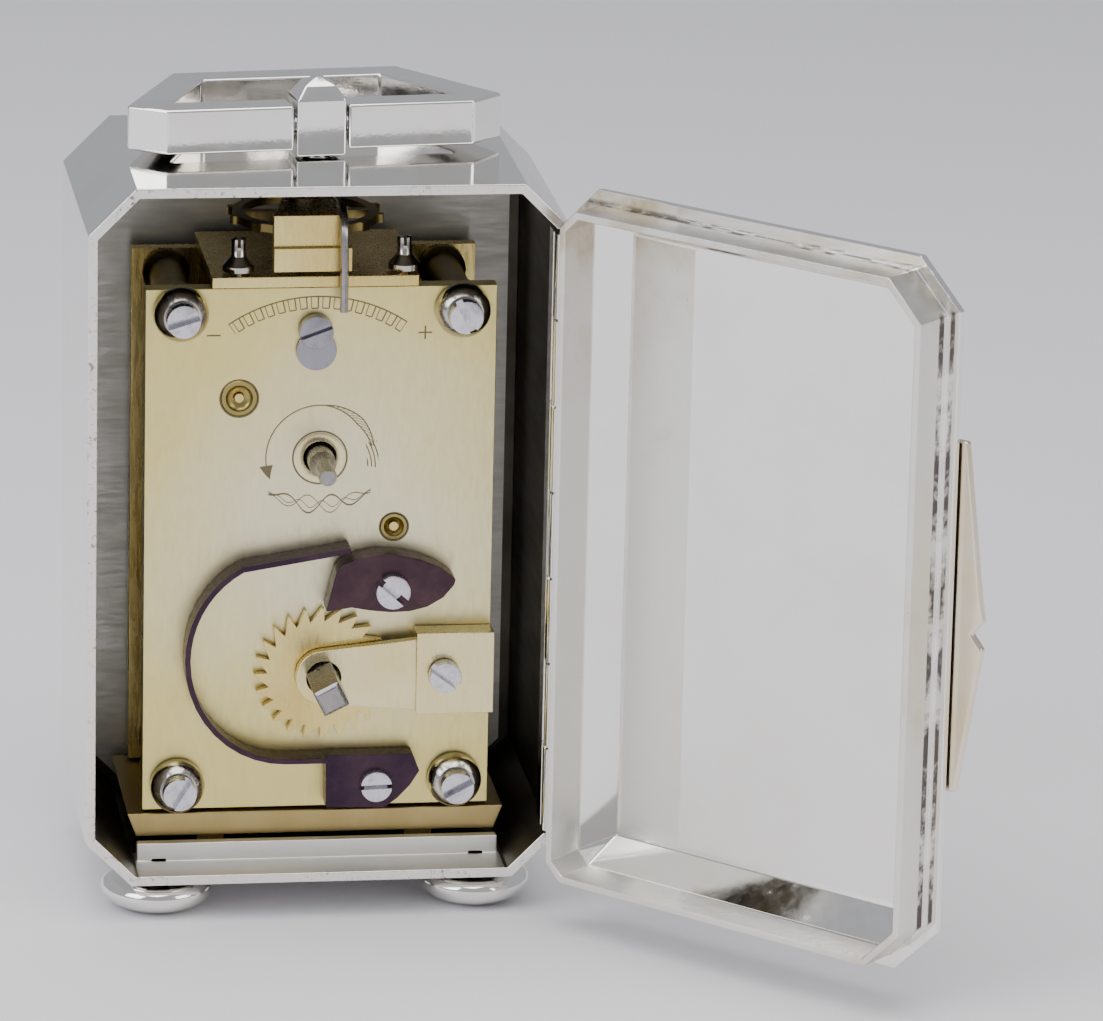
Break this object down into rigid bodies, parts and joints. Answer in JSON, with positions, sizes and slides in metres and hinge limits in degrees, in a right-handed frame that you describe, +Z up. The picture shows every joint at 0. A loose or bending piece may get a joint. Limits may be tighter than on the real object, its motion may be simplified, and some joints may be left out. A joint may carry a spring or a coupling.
{
  "type": "mantel clock",
  "caption": "Small carriage-style mantel clock: silver case with an open back door, carrying handle and key-wound brass movement.",
  "frame": {"origin": "centre of the bounding box's footprint, at the level the feet stand on, with the door open", "axes": "+Z up; the dial faces -Y and the open back faces +Y; +X is to the left seen from behind"},
  "size_m": [0.091, 0.0728, 0.0913],
  "materials": {
    "silver": "polished silver, duller and lightly stained inside",
    "brass": "gilt brass with a fine grain",
    "steel": "polished steel",
    "blued_steel": "purple-brown blued steel",
    "glass": "clear plate glass",
    "dial_face": "silvered dial with black numerals"
  },
  "bodies": {
    "case": {"arbor_bridge": "brass", "back_plate": "brass", "balance_cock": "brass", "bridge_screw": "steel", "case_body": "silver", "click_screw": "steel", "click_spring": "blued_steel", "click_spring_screw": "steel", "collet_bottom_left": "steel", "collet_bottom_right": "steel", "collet_top_left": "steel", "collet_top_right": "steel", "contrate_plug": "steel", "dial": "dial_face", "foot_back_left": "silver", "foot_back_right": "silver", "foot_front_left": "silver", "foot_front_right": "silver", "front_glass": "glass", "front_plate": "brass", "glass_frame": "brass", "handle_post": "silver", "hinge_case_leaf": "silver", "hinge_pin": "steel", "lock_screw": "steel", "movement_seat": "brass", "pillar_bottom_left": "brass", "pillar_bottom_right": "brass", "pillar_screw_bottom_left": "steel", "pillar_screw_bottom_right": "steel", "pillar_screw_top_left": "steel", "pillar_screw_top_right": "steel", "pillar_top_left": "brass", "pillar_top_right": "brass", "platform_plate": "brass", "platform_screw_left": "steel", "platform_screw_right": "steel", "post_nut": "brass"},
    "door": {"hinge_door_leaf": "silver", "door_shell": "silver", "door_thumb_piece": "silver"},
    "handle": {"handle_bail": "silver", "handle_pin": "steel"},
    "winding": {"barrel_arbor": "steel", "ratchet_wheel": "brass"},
    "click_lever": {"click": "blued_steel"},
    "minute_hand_arbor": {"hands_arbor": "steel", "minute_hand": "blued_steel"},
    "minute_wheel_body": {"minute_wheel": "brass"},
    "hour_wheel_body": {"hour_wheel": "brass", "hour_hand": "blued_steel"},
    "barrel_body": {"barrel": "brass"},
    "middle_wheel_body": {"middle_wheel": "brass"},
    "centre_wheel_body": {"centre_wheel": "brass"},
    "third_wheel_body": {"third_wheel": "brass"},
    "contrate_wheel_body": {"contrate_wheel": "brass"},
    "escape_wheel_body": {"escape_wheel": "steel"},
    "lever_body": {"pallet_lever": "steel"},
    "balance_body": {"balance_wheel": "brass"},
    "regulator_body": {"regulator_index": "steel"}
  },
  "joints": [
    {"name": "door_hinge", "type": "hinge", "parent": "case", "child": "door", "pos_m": [-0.00552, -0.00216, 0.0043], "axis": [0, 0, 1], "range_deg": [-134.6, 15.4]},
    {"name": "handle_swing", "type": "hinge", "parent": "case", "child": "handle", "pos_m": [0.0195, -0.01666, 0.08598], "axis": [-0.9954, -0.0958, 0], "range_deg": [0, 175]},
    {"name": "winding_turn", "type": "hinge", "parent": "case", "child": "winding", "pos_m": [0.01908, -0.00216, 0.026], "axis": [0, -1, 0], "continuous": true},
    {"name": "click_pivot", "type": "hinge", "parent": "case", "child": "click_lever", "pos_m": [0.01174, -0.00216, 0.03603], "axis": [0, -1, 0], "range_deg": [0, 4], "stiffness_Nm_per_rad": 0.0002, "springref_deg": -2.86},
    {"name": "hands_turn", "type": "hinge", "parent": "case", "child": "minute_hand_arbor", "pos_m": [0.01953, -0.00216, 0.0503], "axis": [0, -1, 0], "continuous": true},
    {"name": "minute_wheel_turn", "type": "hinge", "parent": "case", "child": "minute_wheel_body", "pos_m": [0.01953, -0.00216, 0.0443], "axis": [0, -1, 0], "continuous": true},
    {"name": "hour_turn", "type": "hinge", "parent": "case", "child": "hour_wheel_body", "pos_m": [0.01953, -0.00216, 0.0503], "axis": [0, -1, 0], "continuous": true},
    {"name": "contrate_turn", "type": "hinge", "parent": "case", "child": "contrate_wheel_body", "pos_m": [0.0201, -0.00216, 0.06246], "axis": [0, -1, 0], "continuous": true},
    {"name": "third_turn", "type": "hinge", "parent": "case", "child": "third_wheel_body", "pos_m": [0.02839, -0.00216, 0.0571], "axis": [0, -1, 0], "continuous": true},
    {"name": "centre_turn", "type": "hinge", "parent": "case", "child": "centre_wheel_body", "pos_m": [0.01953, -0.00216, 0.0503], "axis": [0, -1, 0], "continuous": true},
    {"name": "middle_turn", "type": "hinge", "parent": "case", "child": "middle_wheel_body", "pos_m": [0.0113, -0.00216, 0.0423], "axis": [0, -1, 0], "continuous": true},
    {"name": "barrel_turn", "type": "hinge", "parent": "case", "child": "barrel_body", "pos_m": [0.01908, -0.00216, 0.026], "axis": [0, -1, 0], "continuous": true},
    {"name": "escape_turn", "type": "hinge", "parent": "case", "child": "escape_wheel_body", "pos_m": [0.0201, -0.02636, 0.0697], "axis": [0, 0, 1], "continuous": true},
    {"name": "lever_rock", "type": "hinge", "parent": "case", "child": "lever_body", "pos_m": [0.02021, -0.02346, 0.0697], "axis": [0, 0, 1], "range_deg": [-4, 4]},
    {"name": "balance_swing", "type": "hinge", "parent": "case", "child": "balance_body", "pos_m": [0.02033, -0.02036, 0.0746], "axis": [0, 0, 1], "range_deg": [-120, 120], "stiffness_Nm_per_rad": 0.0000005},
    {"name": "regulator_turn", "type": "hinge", "parent": "case", "child": "regulator_body", "pos_m": [0.02033, -0.02036, 0.0746], "axis": [0, 0, 1], "range_deg": [-10, 10]}
  ],
  "couplings": [
    {"joint": "minute_wheel_turn", "follows": "hands_turn", "ratio": -0.33333},
    {"joint": "hour_turn", "follows": "hands_turn", "ratio": 0.083333},
    {"joint": "third_turn", "follows": "contrate_turn", "ratio": -0.13333},
    {"joint": "centre_turn", "follows": "contrate_turn", "ratio": 0.016667},
    {"joint": "middle_turn", "follows": "contrate_turn", "ratio": -0.0047619},
    {"joint": "barrel_turn", "follows": "contrate_turn", "ratio": 0.0014109},
    {"joint": "escape_turn", "follows": "contrate_turn", "ratio": 8}
  ]
}
